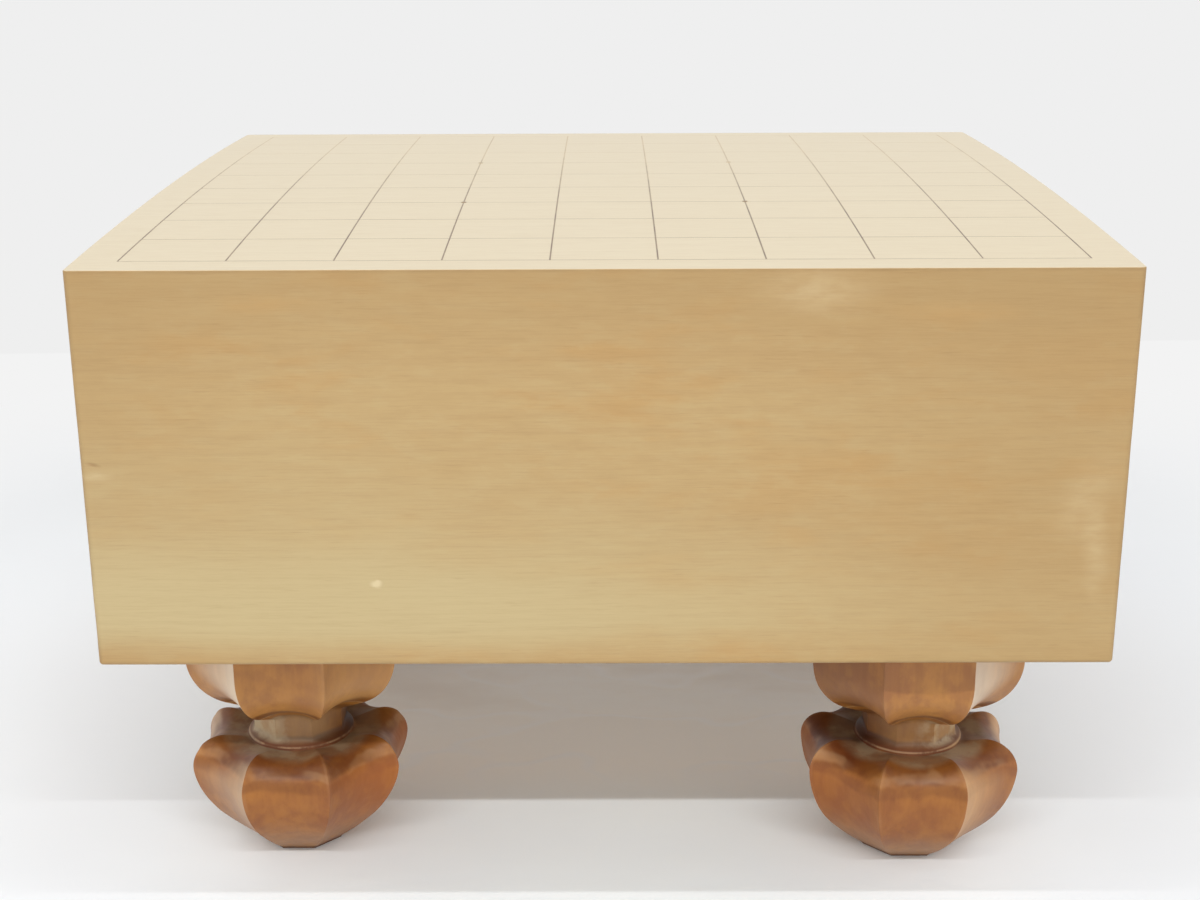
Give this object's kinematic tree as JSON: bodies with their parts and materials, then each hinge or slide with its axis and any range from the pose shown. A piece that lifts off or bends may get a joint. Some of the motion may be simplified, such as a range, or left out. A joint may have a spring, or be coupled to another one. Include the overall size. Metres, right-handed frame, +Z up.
{
  "type": "legged shogi board",
  "caption": "Thick wooden shogi board with a lacquered playing grid on its crowned top, a navel hollow underneath and fluted carved legs that pull out of their mortises.",
  "frame": {"origin": "centre of the board's footprint, on the floor that its feet stand on", "axes": "+X along the grain of the block, to the right of someone facing the front; +Y from the front to the back; +Z up out of the playing surface"},
  "size_m": [0.364, 0.333, 0.2481],
  "materials": {
    "board_wood": "planed and waxed softwood, pale cream on the top and honey tan on the sides",
    "leg_wood": "satin orange-brown wood, hand carved, dusty in the hollows",
    "lacquer": "thin raised film of near-black lacquer"
  },
  "bodies": {
    "board": {"board_block": "board_wood", "grid_lines": "lacquer", "star_dots": "lacquer"},
    "front_left_leg": {"front_left_leg": "leg_wood"},
    "front_right_leg": {"front_right_leg": "leg_wood"},
    "rear_left_leg": {"rear_left_leg": "leg_wood"},
    "rear_right_leg": {"rear_right_leg": "leg_wood"}
  },
  "joints": [
    {"name": "front_left_leg_pull", "type": "slide", "parent": "board", "child": "front_left_leg", "axis": [0, 0, -1], "range_m": [0, 0.04]},
    {"name": "front_right_leg_pull", "type": "slide", "parent": "board", "child": "front_right_leg", "axis": [0, 0, -1], "range_m": [0, 0.04]},
    {"name": "rear_left_leg_pull", "type": "slide", "parent": "board", "child": "rear_left_leg", "axis": [0, 0, -1], "range_m": [0, 0.04]},
    {"name": "rear_right_leg_pull", "type": "slide", "parent": "board", "child": "rear_right_leg", "axis": [0, 0, -1], "range_m": [0, 0.04]}
  ]
}
